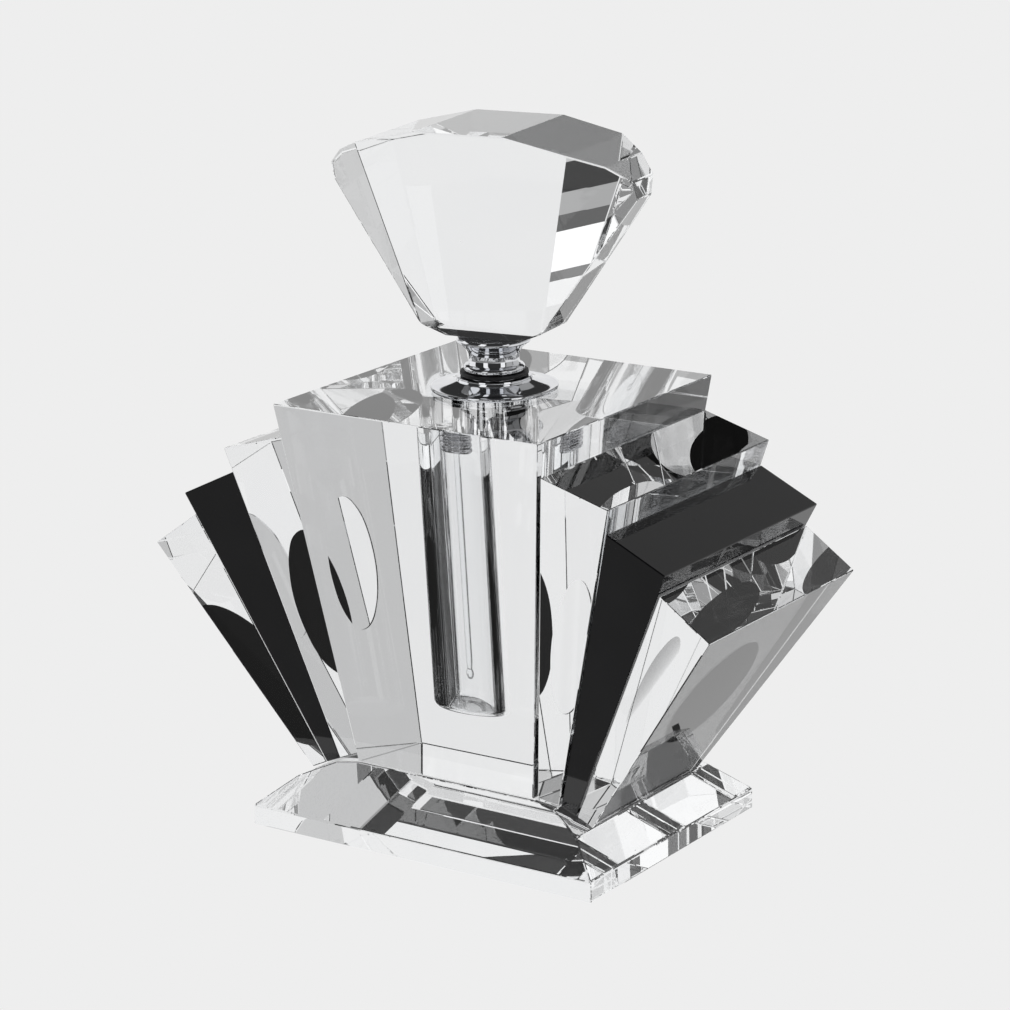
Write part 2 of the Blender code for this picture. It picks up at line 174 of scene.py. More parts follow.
class Bench:
    """The node tree of one material, with short ways to add to it."""

    def __init__(self, name: str) -> None:
        """Makes an empty material.

        Args:
            name: The material's name.
        """
        self.material = bpy.data.materials.new(name)
        self.material.use_nodes = True
        self.tree = self.material.node_tree
        self.tree.nodes.clear()
        self.place = self.node("TexCoord").outputs["Object"]

    def node(self, kind: str, settings: dict | None = None, **sockets: object) -> bpy.types.Node:
        """Adds a node.

        Args:
            kind: The node's type without its ShaderNode prefix.
            settings: Values of the node's own properties, which are set first.
            **sockets: Values or links by socket name, with _ for a space.

        Returns:
            The new node.
        """
        made = self.tree.nodes.new("ShaderNode" + kind)
        for key, value in (settings or {}).items():
            setattr(made, key, value)
        for key, value in sockets.items():
            socket = made.inputs[key.replace("_", " ")]
            if isinstance(value, Signal):
                self.tree.links.new(value.socket, socket)
            elif isinstance(value, bpy.types.NodeSocket):
                self.tree.links.new(value, socket)
            else:
                socket.default_value = value
        return made

    def signal(self, kind: str, output: str, settings: dict | None = None, **sockets: object) -> Signal:
        """Adds a node and wraps one of its outputs as a number.

        Args:
            kind: The node's type without its ShaderNode prefix.
            output: The output's name.
            settings: Values of the node's own properties.
            **sockets: Values or links by socket name.

        Returns:
            The output as a signal.
        """
        return Signal(self.tree, self.node(kind, settings, **sockets).outputs[output])

    def noise(self, size: float, detail: float, stretch: Vector = Vector((1, 1, 1))) -> Signal:
        """Soft noise with features of a real size.

        Args:
            size: Feature size in metres.
            detail: Octaves of finer noise.
            stretch: Scale of the pattern along X, Y and Z.

        Returns:
            The noise, about 0.3 to 0.7.
        """
        turned = self.node("Mapping", Vector=self.place, Scale=stretch)
        return self.signal("TexNoise", "Fac", Vector=turned.outputs["Vector"], Scale=1.0 / size,
                           Detail=detail)

    def specks(self, spacing: float, share: float) -> Signal:
        """Small scattered dots, such as dust and tiny nicks.

        Args:
            spacing: Average distance between cells in metres.
            share: Radius of a dot as a share of a cell.

        Returns:
            1 in a dot, 0 elsewhere; about half of the cells hold one.
        """
        near = self.node("TexVoronoi", {"feature": "F1"}, Vector=self.place, Scale=1.0 / spacing)
        distance = Signal(self.tree, near.outputs["Distance"])
        chance = self.signal("SeparateColor", "Red", Color=near.outputs["Color"])
        return (distance < chance * chance * share)

    def blend(self, share: Signal, first: Sequence[float], second: Sequence[float]) -> bpy.types.NodeSocket:
        """A colour between two colours.

        Args:
            share: 0 for the first colour, 1 for the second.
            first: Linear RGB.
            second: Linear RGB.

        Returns:
            The mixed colour's socket.
        """
        mix = self.node("Mix", {"data_type": "RGBA"})
        self.tree.links.new(share.socket, mix.inputs[0])
        mix.inputs[6].default_value = (*first, 1.0)
        mix.inputs[7].default_value = (*second, 1.0)
        return mix.outputs[2]

    def spot(self, spot: "CementSpot") -> Signal:
        """Where cement bridges the film of air on a ground face.

        Args:
            spot: The spot of cement.

        Returns:
            1 on the spot, 0 elsewhere.
        """
        away = self.node("VectorMath", {"operation": "SUBTRACT"})
        self.tree.links.new(self.place, away.inputs[0])
        away.inputs[1].default_value = spot.centre
        height = self.node("VectorMath", {"operation": "DOT_PRODUCT"})
        reach = self.node("VectorMath", {"operation": "LENGTH"})
        height.inputs[1].default_value = spot.normal
        for measure in (height, reach):
            self.tree.links.new(away.outputs["Vector"], measure.inputs[0])
        above = Signal(self.tree, height.outputs["Value"])
        distance = Signal(self.tree, reach.outputs["Value"])
        edge = distance + (self.noise(spot.ripple, 1.0) - 0.5) * spot.unevenness
        return (abs(above) < spot.skin) * (edge < spot.radius)

    def spots(self, spots: Iterable["CementSpot"]) -> Signal | None:
        """Where any of the spots is.

        Args:
            spots: Spots of cement.

        Returns:
            1 on a spot, 0 elsewhere; None without spots.
        """
        mask = None
        for spot in spots:
            here = self.spot(spot)
            mask = here if mask is None else mask.either(here)
        return mask

    def relief(self, height: Signal, depth: float) -> bpy.types.NodeSocket:
        """A bump of a real depth.

        Args:
            height: The relief from 0 to 1.
            depth: What 1 stands for, in metres.

        Returns:
            The bumped normal's socket.
        """
        bump = self.node("Bump", Height=height, Distance=depth, Strength=1.0)
        return bump.outputs["Normal"]

    def finish(self, shader: bpy.types.NodeSocket) -> bpy.types.Material:
        """Links the surface shader to the output.

        Args:
            shader: The surface shader's socket.

        Returns:
            The finished material.
        """
        output = self.node("OutputMaterial")
        self.tree.links.new(shader, output.inputs["Surface"])
        return self.material


# ---- finishes ----
class Backing(Enum):
    """What the cement joins a clear face to."""

    CLEAR = "clear"
    BLACK = "black"


@dataclass(frozen=True)
class CementSpot:
    """A round spot of clear cement between two faces; around it the faces keep a film of air."""

    centre: Vector
    normal: Vector
    radius: float
    backing: Backing
    skin: float = 0.4 * MM
    unevenness: float = 0.9 * MM
    ripple: float = 11.0 * MM


@dataclass(frozen=True)
class Polish:
    """What lapping leaves on crystal: a trace of cloud, faint waves and a few specks."""

    cloud_size: float
    wave_size: float
    wave_depth: float
    speck_spacing: float
    speck_share: float
    detail: float

    def lay(self, bench: Bench) -> tuple[Signal, Signal, bpy.types.NodeSocket]:
        """Adds the marks to a material.

        Args:
            bench: The material's node tree.

        Returns:
            The cloud, the specks and the bumped normal.
        """
        cloud = bench.noise(self.cloud_size, self.detail)
        specks = bench.specks(self.speck_spacing, self.speck_share)
        waves = bench.noise(self.wave_size, 1.0, Vector(LAPPING))
        return cloud, specks, bench.relief(waves, self.wave_depth)


@dataclass(frozen=True)
class CutCrystal:
    """Clear lead-free crystal, ground flat and polished."""

    name: str
    ior: float = 1.52
    tint: tuple[float, float, float] = (0.985, 0.990, 0.994)
    shade: tuple[float, float, float] = (0.970, 0.978, 0.986)
    polish: Polish = Polish(18.0 * MM, 6.0 * MM, 0.00008 * MM, 7.5 * MM, 0.028, 3.0)
    speck_roughness: float = 0.45
    cement_step: float = 1.02

    def paint(self, joints: Sequence[CementSpot] = ()) -> bpy.types.Material:
        """Clear glass with faint lapping waves, a trace of cloud and a few dust specks.

        Light goes straight on where cement joins two clear pieces, and is swallowed where it joins
        a clear piece to a black one.

        Args:
            joints: Spots of cement on the piece.

        Returns:
            The material.
        """
        bench = Bench(self.name)
        cloud, specks, normal = self.polish.lay(bench)
        shader = bench.node(
            "BsdfPrincipled",
            Base_Color=bench.blend(cloud.ramp(0.35, 0.65), self.tint, self.shade),
            Roughness=specks * self.speck_roughness,
            Normal=normal,
            Transmission_Weight=1.0, IOR=self.ior)
        bridged = bench.spots(spot for spot in joints if spot.backing is Backing.CLEAR)
        swallowed = bench.spots(spot for spot in joints if spot.backing is Backing.BLACK)
        if bridged:
            bench.tree.links.new((1.0 - bridged).socket, shader.inputs["Alpha"])
        if not swallowed:
            return bench.finish(shader.outputs[0])
        dark = bench.node("BsdfPrincipled", Base_Color=(0.0, 0.0, 0.0, 1.0), Roughness=0.0,
                          Transmission_Weight=1.0, IOR=self.cement_step)
        mix = bench.node("MixShader")
        for link, socket in ((swallowed.socket, 0), (shader.outputs[0], 1), (dark.outputs[0], 2)):
            bench.tree.links.new(link, mix.inputs[socket])
        return bench.finish(mix.outputs[0])


@dataclass(frozen=True)
class BlackCrystal:
    """Jet-black crystal with the same polish as the clear pieces."""

    name: str
    depth: tuple[float, float, float] = (0.0045, 0.0045, 0.0055)
    bloom: tuple[float, float, float] = (0.0085, 0.0085, 0.0095)
    ior: float = 1.52
    polish: Polish = Polish(12.0 * MM, 5.0 * MM, 0.0005 * MM, 6.0 * MM, 0.030, 4.0)
    roughness: float = 0.02
    cloud_roughness: float = 0.03
    speck_roughness: float = 0.4

    def paint(self) -> bpy.types.Material:
        """Opaque black glass, faintly uneven in tone and polish.

        Returns:
            The material.
        """
        bench = Bench(self.name)
        cloud, specks, normal = self.polish.lay(bench)
        shader = bench.node(
            "BsdfPrincipled",
            Base_Color=bench.blend(cloud.ramp(0.3, 0.7), self.depth, self.bloom),
            Roughness=self.roughness + cloud * self.cloud_roughness + specks * self.speck_roughness,
            Normal=normal,
            IOR=self.ior)
        return bench.finish(shader.outputs[0])


@dataclass(frozen=True)
class Plating:
    """Bright plated metal, with the fine rings that turning leaves under the plate."""

    name: str
    colour: tuple[float, float, float]
    shade: tuple[float, float, float]
    roughness: float
    ring_pitch: float = 0.22 * MM
    ring_depth: float = 0.0003 * MM
    smear_size: float = 3.0 * MM
    smear_share: float = 0.8

    def paint(self) -> bpy.types.Material:
        """Metal with turned rings, small wipe marks and a slightly uneven tone.

        Returns:
            The material.
        """
        bench = Bench(self.name)
        smears = bench.noise(self.smear_size, 4.0, Vector((1.0, 1.0, 2.5)))
        rings = bench.signal("TexWave", "Fac", {"wave_type": "BANDS", "bands_direction": "Z"},
                             Vector=bench.place, Scale=0.31 / self.ring_pitch, Distortion=0.6, Detail=2.0)
        shader = bench.node(
            "BsdfPrincipled",
            Base_Color=bench.blend(smears.ramp(0.3, 0.7), self.colour, self.shade),
            Roughness=self.roughness + smears.ramp(0.5, 0.75) * self.roughness * self.smear_share,
            Normal=bench.relief(rings, self.ring_depth),
            Metallic=1.0)
        return bench.finish(shader.outputs[0])


@dataclass(frozen=True)
class Moulding:
    """Soft moulded or punched material: the gasket and the poly sleeve."""

    name: str
    colour: tuple[float, float, float]
    shade: tuple[float, float, float]
    roughness: float
    grain: float
    grain_depth: float = 0.008 * MM
    grain_roughness: float = 0.12

    def paint(self) -> bpy.types.Material:
        """A dull, faintly grained surface.

        Returns:
            The material.
        """
        bench = Bench(self.name)
        grain = bench.noise(self.grain, 5.0)
        shader = bench.node(
            "BsdfPrincipled",
            Base_Color=bench.blend(grain.ramp(0.3, 0.7), self.colour, self.shade),
            Roughness=self.roughness + grain * self.grain_roughness,
            Normal=bench.relief(grain, self.grain_depth))
        return bench.finish(shader.outputs[0])


# ---- shaping ----
def publish(name: str, bm: bmesh.types.BMesh, finish: bpy.types.Material, body: Body,
            node: str) -> bpy.types.Object:
    """Makes a piece of a bmesh and hangs it on its body.

    Args:
        name: The piece's name.
        bm: The shape, in the row frame; it is freed.
        finish: The piece's material.
        body: The body that it rides on.
        node: The CAD node that it stands for.

    Returns:
        The piece.
    """
    bmesh.ops.recalc_face_normals(bm, faces=bm.faces)
    mesh = bpy.data.meshes.new(name)
    bm.to_mesh(mesh)
    bm.free()
    mesh.materials.append(finish)
    piece = bpy.data.objects.new(name, mesh)
    bpy.context.scene.collection.objects.link(piece)
    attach(piece, body.value)
    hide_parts(node)
    log.info("%s on %s: %d faces", name, body.value, len(mesh.polygons))
    return piece


def leaning(angle: float) -> tuple[Vector, Vector]:
    """Direction up a face that leans out along +X by an angle, and that face's outward normal."""
    return Vector((sin(angle), 0, cos(angle))), Vector((cos(angle), 0, -sin(angle)))


def both_ways(cuts: Iterable[Cut], sides: bool = True, fronts: bool = True) -> list[Cut]:
    """The cuts with their mirror images.

    Args:
        cuts: Cuts on the +X, -Y quarter.
        sides: Whether to mirror them in X.
        fronts: Whether to mirror them in Y.

    Returns:
        All the cuts.
    """
    flips = [Vector((x, y, 1)) for x in ((1, -1) if sides else (1,))
             for y in ((1, -1) if fronts else (1,))]
    return [(point * flip, normal * flip) for point, normal in cuts for flip in flips]


class Grinder:
    """Grinds a blank flat, cut after cut, then polishes its arrises."""

    ARRIS_STEPS = 2

    def __init__(self, low: Sequence[float], high: Sequence[float]) -> None:
        """Starts from a rectangular blank.

        Args:
            low: Lowest corner.
            high: Highest corner.
        """
        self.bm = bmesh.new()
        middle = (Vector(low) + Vector(high)) / 2
        spans = Vector(high) - Vector(low)
        blank = Matrix.Translation(middle) @ Matrix.Diagonal((*spans, 1.0))
        bmesh.ops.create_cube(self.bm, size=1.0, matrix=blank)

    def grind(self, cuts: Iterable[Cut]) -> "Grinder":
        """Takes off everything beyond each plane.

        Args:
            cuts: Points on the planes, with their outward normals.

        Returns:
            This grinder.
        """
        for point, normal in cuts:
            geom = self.bm.verts[:] + self.bm.edges[:] + self.bm.faces[:]
            cut = bmesh.ops.bisect_plane(self.bm, geom=geom, dist=1e-7, plane_co=point,
                                         plane_no=normal.normalized(), clear_outer=True)
            rim = [e for e in cut["geom_cut"] if isinstance(e, bmesh.types.BMEdge)]
            if rim:
                bmesh.ops.edgeloop_fill(self.bm, edges=rim)
        bmesh.ops.remove_doubles(self.bm, verts=self.bm.verts, dist=1e-6)
        return self

    def polish(self, width: float) -> bmesh.types.BMesh:
        """Rounds every arris a little.

        Args:
            width: Width of the arris.

        Returns:
            The finished shape.
        """
        bmesh.ops.bevel(self.bm, geom=self.bm.edges[:], offset=width, affect="EDGES", profile=0.5,
                        segments=self.ARRIS_STEPS, material=-1, clamp_overlap=True)
        return self.bm


def arc(centre: tuple[float, float], radius: float, start: float, end: float, steps: int) -> Outline:
    """Points (radius, z) along an arc; 0 degrees points outwards and 90 up."""
    angles = [radians(start + (end - start) * i / steps) for i in range(steps + 1)]
    return [(centre[0] + radius * cos(a), centre[1] + radius * sin(a)) for a in angles]


def sweep(start: tuple[float, float], end: tuple[float, float], power: float, steps: int) -> Outline:
    """Points (radius, z) from start to end, hollow-ground: the radius moves as a power of the height."""
    shares = [i / steps for i in range(steps + 1)]
    return [(start[0] + (end[0] - start[0]) * t ** power, start[1] + (end[1] - start[1]) * t)
            for t in shares]


def eased(outline: Outline, radius: float, closed: bool) -> Outline:
    """Breaks the sharp corners of an outline with a small chamfered round.

    Args:
        outline: Points (radius, z).
        radius: Distance taken off along each side of a sharp corner.
        closed: Whether the last point joins the first.

    Returns:
        The outline with three points in place of each sharp corner off the axis.
    """
    count, out = len(outline), []
    for i, here in enumerate(outline):
        if not closed and i in (0, count - 1):
            out.append(here)
            continue
        point = Vector(here)
        before, after = Vector(outline[i - 1]), Vector(outline[(i + 1) % count])
        back, ahead = before - point, after - point
        take = min(radius, back.length * 0.4, ahead.length * 0.4)
        if back.length < 1e-9 or ahead.length < 1e-9 or back.angle(ahead) > radians(150):
            out.append(here)
            continue
        first, last = point + back.normalized() * take, point + ahead.normalized() * take
        middle = (first + last) / 4 + point / 2
        out += [tuple(first), tuple(middle), tuple(last)]
    return out


class Lathe:
    """Turns outlines about the neck axis."""

    SHARP = radians(28)
    THREAD_PITCH = 1.25 * MM
    THREAD_DEPTH = 0.38 * MM
    THREAD_ROWS = 88
    THREAD_STEPS = 96
    SLIM_STEPS = 64

    def __init__(self, steps: int = 128) -> None:
        """Sets how fine the turning is.

        Args:
            steps: Faces around a turned piece.
        """
        self.steps = steps

    def turn(self, outline: Outline, closed: bool) -> bmesh.types.BMesh:
        """Spins an outline a full turn.

        Args:
            outline: Points (radius, z).
            closed: True for a ring, False for an outline that starts and ends on the axis.

        Returns:
            The turned shape, smooth but for its sharp corners.
        """
        bm = bmesh.new()
        verts = [bm.verts.new((r, 0.0, z)) for r, z in outline]
        edges = [bm.edges.new(pair) for pair in zip(verts, verts[1:])]
        if closed:
            edges.append(bm.edges.new((verts[-1], verts[0])))
        bmesh.ops.spin(bm, geom=verts + edges, axis=(0, 0, 1), cent=(0, 0, 0), angle=FULL_TURN,
                       steps=self.steps, use_merge=True)
        bmesh.ops.remove_doubles(bm, verts=bm.verts, dist=2e-6)
        bmesh.ops.recalc_face_normals(bm, faces=bm.faces)
        for face in bm.faces:
            face.smooth = True
        for edge in bm.edges:
            edge.smooth = edge.calc_face_angle(0.0) < self.SHARP
        return bm

    @staticmethod
    def wall(radius: float, high: float, low: float) -> Outline:
        """Close points (radius, z) down a straight wall, for a thread to be cut in."""
        rows = Lathe.THREAD_ROWS
        return [(radius, high + (low - high) * i / rows) for i in range(rows + 1)]

    @staticmethod
    def chase(bm: bmesh.types.BMesh, radius: float, low: float, high: float) -> None:
        """Cuts a single-start helical thread in a turned wall.

        Args:
            bm: The turned shape, with close rows of vertices on the wall.
            radius: The wall's radius.
            low: Height where the thread has run out below.
            high: Height where it has run out above.
        """
        pitch, depth = Lathe.THREAD_PITCH, Lathe.THREAD_DEPTH
        for vert in bm.verts:
            x, y, z = vert.co
            if abs((x * x + y * y) ** 0.5 - radius) > 1e-5 or not low < z < high:
                continue
            phase = (z / pitch - atan2(y, x) / FULL_TURN) % 1.0
            crest = abs(2 * phase - 1)
            groove = min(1.0, max(0.0, 1.45 * crest - 0.30))
            runout = min(1.0, (z - low) / pitch, (high - z) / pitch)
            scale = 1 - depth * groove * runout / radius
            vert.co.x, vert.co.y = x * scale, y * scale


# ---- sub-assemblies ----
@dataclass
class Plinth:
    """Hipped crystal plinth with an upright rim; its sides are stepped to carry the fins."""

    width: float = 90.0 * MM
    depth: float = 67.0 * MM
    rim: float = 4.6 * MM
    height: float = 15.4 * MM
    seat_width: float = 46.8 * MM
    seat_depth: float = 45.2 * MM
    fin_runs: tuple[float, ...] = (0.124, 0.085, 0.088)
    fin_drops: tuple[float, ...] = (0.052, 0.110, 0.123)
    arris: float = 0.28 * MM

    def feet(self) -> list[Vector]:
        """Where one fin ends and the next begins.

        Returns:
            Points along the right half of the ridge, from the block outwards.
        """
        feet = [Vector((self.seat_width / 2, 0, self.height))]
        for run, drop in zip(self.fin_runs, self.fin_drops):
            feet.append(feet[-1] + Vector((run * self.seat_width, 0, -drop * self.height)))
        return feet

    def build(self, finish: CutCrystal) -> None:
        """Grinds the plinth.

        Args:
            finish: Its crystal.
        """
        ridge = self.feet() + [Vector((self.width / 2, 0, self.rim))]
        slopes = [(a, Vector((a.z - b.z, 0, b.x - a.x))) for a, b in zip(ridge, ridge[1:])]
        rise, set_back = self.height - self.rim, (self.depth - self.seat_depth) / 2
        hip = (Vector((0, -self.depth / 2, self.rim)), Vector((0, -rise, set_back)))
        half = Vector((self.width / 2, self.depth / 2, 0))
        grinder = Grinder(-half, half + Vector((0, 0, self.height)))
        grinder.grind(both_ways(slopes, fronts=False) + both_ways([hip], sides=False))
        publish("plinth", grinder.polish(self.arris), finish.paint(), Body.BOTTLE,
                "base_plinth")


@dataclass
class Block:
    """Centre block, wider at the top, with the round-bottomed scent well drilled in it."""

    foot_width: float = 46.8 * MM
    foot_depth: float = 45.2 * MM
    top_width: float = 68.4 * MM
    top_depth: float = 69.2 * MM
    well_diameter: float = 19.0 * MM
    well_floor: float = 14.4 * MM
    well_fillet: float = 1.6 * MM
    arris: float = 0.26 * MM
    well_steps: int = 160

    def __post_init__(self) -> None:
        """Takes its heights from the frame."""
        low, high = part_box("bottle_block")
        self.foot, self.top = low.z, high.z

    @property
    def height(self) -> float:
        """Height of the block."""
        return self.top - self.foot

    @property
    def lean(self) -> float:
        """Angle by which each side leans out."""
        return atan2((self.top_width - self.foot_width) / 2, self.height)

    def build(self, finish: CutCrystal, joints: Sequence[CementSpot]) -> None:
        """Grinds the block and drills the well.

        Args:
            finish: Its crystal.
            joints: Spots of cement on its sides.
        """
        out = leaning(self.lean)[1]
        rake = (self.top_depth - self.foot_depth) / 2 / self.height
        side = (Vector((self.foot_width / 2, 0, self.foot)), out)
        front = (Vector((0, -self.foot_depth / 2, self.foot)), Vector((0, -1, -rake)))
        half = Vector((self.top_width / 2, self.top_depth / 2, 0))
        grinder = Grinder(-half + Vector((0, 0, self.foot)), half + Vector((0, 0, self.top)))
        grinder.grind(both_ways([side], fronts=False) + both_ways([front], sides=False))
        block = publish("centre_block", grinder.polish(self.arris), finish.paint(joints), Body.BOTTLE,
                        "bottle_block")
        self.drill(block)

    def drill(self, block: bpy.types.Object) -> None:
        """Cuts the well out of the block, with smooth polished walls.

        Args:
            block: The block's piece.
        """
        radius, floor, over = self.well_diameter / 2, self.foot + self.well_floor, 5 * MM
        corner = arc((radius - self.well_fillet, floor + self.well_fillet), self.well_fillet, -90, 0, 10)
        mouth = [(radius, self.top - 0.35 * MM), (radius + 0.35 * MM, self.top),
                 (radius + 0.35 * MM, self.top + over), (0, self.top + over)]
        bm = Lathe(self.well_steps).turn([(0, floor)] + corner + mouth, closed=False)
        mesh = bpy.data.meshes.new("well_drill")
        bm.to_mesh(mesh)
        bm.free()
        drill = bpy.data.objects.new("well_drill", mesh)
        bpy.context.scene.collection.objects.link(drill)
        cut = block.modifiers.new("well", "BOOLEAN")
        cut.operation, cut.solver, cut.object = "DIFFERENCE", "EXACT", drill
        graph = bpy.context.evaluated_depsgraph_get()
        drilled = bpy.data.meshes.new_from_object(block.evaluated_get(graph))
        block.modifiers.clear()
        bpy.data.objects.remove(drill)
        for polygon in drilled.polygons:
            x, y, z = polygon.center
            inside = (x * x + y * y) ** 0.5 < radius + 0.5 * MM and z > floor - 1e-5
            polygon.use_smooth = inside and z < self.top - 1e-5
        finish = block.data.materials[0]
        block.data = drilled
        drilled.materials.clear()
        drilled.materials.append(finish)
        drilled.name = block.name


class Side(Enum):
    """A side of the bottle, as the sign of its X."""

    RIGHT = 1
    LEFT = -1


@dataclass(frozen=True)
class Pool:
    """How far a drop of cement has spread on a joint face: its centre's Y and Z, and its radius."""

    across: float
    height: float
    radius: float


class FinKind(Enum):
    """The three fins of a side, from the block outwards."""

    INNER = "clear_inner"
    BLACK = "black"
    OUTER = "clear_outer"


@dataclass
class Fan:
    """Three slabs a side, each leaning on the one before, their feet on the stepped plinth."""

    plinth: Plinth
    block: Block
    leans: tuple[float, ...] = (radians(16.0), radians(25.7), radians(35.1))
    lengths: tuple[float, ...] = (0.900, 0.818, 0.735)
    foot_depths: tuple[float, ...] = (0.951, 0.934, 0.929)
    taper: float = 0.150
    cement: float = 0.3 * MM
    arris: float = 0.24 * MM
    pools: dict[Side, tuple[Pool, ...]] = field(default_factory=lambda: {
        Side.LEFT: (Pool(-2.1 * MM, 60.4 * MM, 15.5 * MM), Pool(-1.9 * MM, 49.3 * MM, 17.3 * MM),
                    Pool(-0.5 * MM, 38.0 * MM, 21.0 * MM)),
        Side.RIGHT: (Pool(-1.5 * MM, 49.7 * MM, 16.0 * MM), Pool(-0.5 * MM, 49.0 * MM, 15.5 * MM),
                     Pool(0.5 * MM, 43.2 * MM, 14.4 * MM))})

    def joint(self, i: int, side: Side) -> CementSpot:
        """The cement between a fin and the piece that it leans on.

        Args:
            i: Which fin, from the block outwards.
            side: Which side of the bottle.

        Returns:
            The spot, in the middle of the film.
        """
        flip, pool, foot = Vector((side.value, 1, 1)), self.pools[side][i], self.plinth.feet()[i]
        up, out = leaning(self.block.lean if i == 0 else self.leans[i - 1])
        centre = foot + up * ((pool.height - foot.z) / up.z) + out * (self.cement / 2)
        centre.y = pool.across
        backing = Backing.CLEAR if i == 0 else Backing.BLACK
        return CementSpot(centre * flip, out * flip, pool.radius, backing)

    def build(self, clear: CutCrystal, black: BlackCrystal) -> None:
        """Grinds the six fins.

        Args:
            clear: Crystal of the inner and outer fins.
            black: Crystal of the middle fins.
        """
        feet = self.plinth.feet()
        inner_lean = self.block.lean
        black_paint = black.paint()
        for i, kind in enumerate(FinKind):
            cuts = self.cuts(i, inner_lean, feet[i], feet[i + 1])
            for side in Side:
                flip = Vector((side.value, 1, 1))
                reach = self.block.height + self.plinth.width
                grinder = Grinder((-reach, -self.plinth.depth, -reach / 4),
                                  (reach, self.plinth.depth, reach))
                grinder.grind([(point * flip, normal * flip) for point, normal in cuts])
                if kind is FinKind.BLACK:
                    finish, slot = black_paint, Slot.BLACK
                else:
                    faces = (i, i + 1) if kind is FinKind.INNER else (i,)
                    finish, slot = clear.paint([self.joint(face, side) for face in faces]), Slot.FIN
                suffix = side.name.lower()
                publish(f"{kind.value}_fin_{suffix}", grinder.polish(self.arris), finish, Body.BOTTLE,
                        f"fin_{kind.value}_{suffix}")
            inner_lean = self.leans[i]

    def cuts(self, i: int, inner_lean: float, foot_in: Vector, foot_out: Vector) -> list[Cut]:
        """The planes that bound a fin of the right side.

        Args:
            i: Which fin, from the block outwards.
            inner_lean: Lean of the face that it is cemented to.
            foot_in: Ridge point under its inner face.
            foot_out: Ridge point under its outer face.

        Returns:
            The cuts.
        """
        up, out = leaning(self.leans[i])
        inner_out = leaning(inner_lean)[1]
        run = foot_out - foot_in
        foot_normal = Vector((run.z, 0, -run.x)).normalized()
        half = self.foot_depths[i] * self.plinth.seat_depth / 2
        front = (foot_out + Vector((0, -half, 0)), Vector((0, -1, 0)) - up * self.taper)
        return [
            (foot_in + inner_out * self.cement, -inner_out),
            (foot_out, out),
            (foot_out + up * self.lengths[i] * self.block.height, up),
            (foot_in - foot_normal * self.cement, foot_normal),
        ] + both_ways([front], sides=False)


@dataclass
class NeckFitting:
    """Chrome collar, threaded socket and the washer that seals it."""

    collar_diameter: float = 27.8 * MM
    socket_diameter: float = 11.8 * MM
    socket_wall: float = 1.05 * MM
    washer_diameter: float = 15.0 * MM
    boss_share: float = 0.292
    flare_power: float = 1.9
    flare_steps: int = 16
    running: float = 0.3 * MM
    ease: float = 0.10 * MM

    def build(self, chrome: Plating, nickel: Plating, rubber: Moulding) -> None:
        """Turns the three pieces.

        Args:
            chrome: Plate of the collar.
            nickel: Plate of the socket.
            rubber: Material of the washer.
        """
        self.collar(chrome.paint())
        self.socket(nickel.paint())
        self.washer(rubber.paint())

    def collar(self, finish: bpy.types.Material) -> None:
        """Thin rim, hollow-ground flare, stepped boss.

        Args:
            finish: Its material.
        """
        low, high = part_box("collar_disc")
        rim, boss = self.collar_diameter / 2, self.collar_diameter * self.boss_share
        height, neck = high.z - low.z, boss + 0.2 * MM
        bore = self.socket_diameter / 2 + self.running
        edge = 0.28 * height
        shares = [i / self.flare_steps for i in range(self.flare_steps + 1)]
        bow = [(rim + (neck - rim) * t, low.z + edge + 0.42 * height * t ** self.flare_power)
               for t in shares]
        outline = [(bore, low.z), (rim - 0.35 * MM, low.z), (rim, low.z + 0.35 * edge)] + bow + [
            (boss + 0.12 * MM, low.z + 0.80 * height), (boss, low.z + 0.86 * height), (boss, high.z),
            (bore, high.z)]
        bm = Lathe().turn(eased(outline, self.ease, closed=True), closed=True)
        publish("neck_collar", bm, finish, Body.BOTTLE, "collar_disc")

    def socket(self, finish: bpy.types.Material) -> None:
        """Tube with a helical thread outside, hanging in the well.

        Args:
            finish: Its material.
        """
        low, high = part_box("neck_socket")
        outer = self.socket_diameter / 2
        bore = outer - self.socket_wall
        start, end = low.z + 0.35 * MM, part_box("collar_disc")[0].z - 0.4 * MM
        outline = [(bore, high.z), (outer, high.z)] + Lathe.wall(outer, end, start) + [
            (outer - 0.3 * MM, low.z), (bore, low.z)]
        lathe = Lathe(Lathe.THREAD_STEPS)
        bm = lathe.turn(outline, closed=True)
        lathe.chase(bm, outer, start, end)
        publish("threaded_socket", bm, finish, Body.BOTTLE, "neck_socket")

    def washer(self, finish: bpy.types.Material) -> None:
        """Flat ring with rounded edges.

        Args:
            finish: Its material.
        """
        low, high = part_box("sealing_washer")
        outer = high.x
        bore = self.socket_diameter / 2 - self.socket_wall
        outline = [(bore, low.z), (outer, low.z), (outer, high.z), (bore, high.z)]
        bm = Lathe().turn(eased(outline, 0.15 * MM, closed=True), closed=True)
        publish("gasket_ring", bm, finish, Body.WASHER, "sealing_washer")


